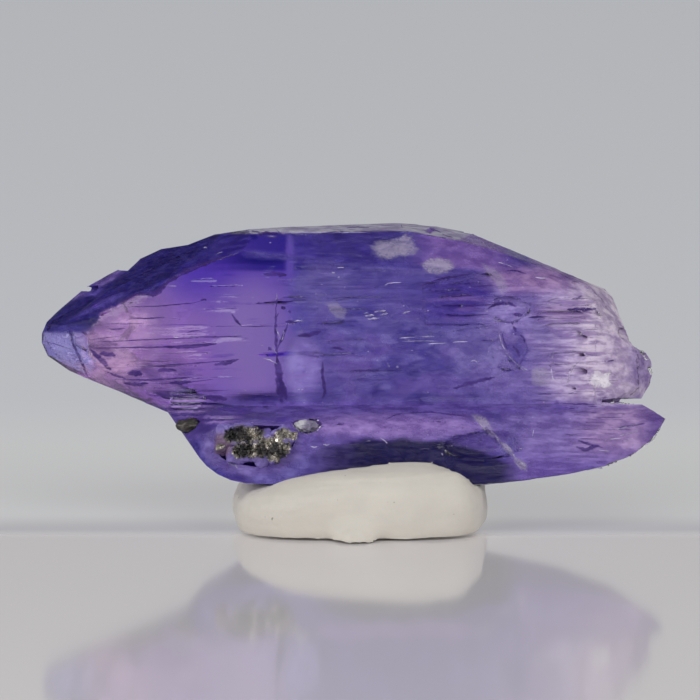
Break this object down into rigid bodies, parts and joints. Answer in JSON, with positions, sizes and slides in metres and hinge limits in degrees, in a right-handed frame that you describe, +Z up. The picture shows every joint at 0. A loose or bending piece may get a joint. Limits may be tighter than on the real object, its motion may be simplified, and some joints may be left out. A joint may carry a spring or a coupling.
{
  "type": "rough tanzanite crystal",
  "caption": "Rough violet-blue gem crystal with a chisel tip, etched faces and a broken end, standing on a small pad of white putty.",
  "frame": {"origin": "on the surface the putty rests on, under the middle of the whole", "axes": "+X along the crystal towards its broken end, +Y from the pictured front to the back, +Z up"},
  "size_m": [0.0262, 0.0128, 0.0118],
  "materials": {
    "tanzanite": "clear violet-blue crystal, glossy on its faces, etched and frosted in places",
    "pyrite": "bright metallic grains, pale brassy grey",
    "graphite": "dull dark grey with a slight metallic sheen",
    "white_mineral": "milky, granular, slightly translucent",
    "putty": "matt cream-white mounting putty with soft kneading marks"
  },
  "bodies": {
    "root": {"tanzanite_crystal": "tanzanite", "pyrite_cluster": "pyrite", "graphite_grain": "graphite", "white_grain": "white_mineral", "putty_pad": "putty"}
  },
  "joints": []
}
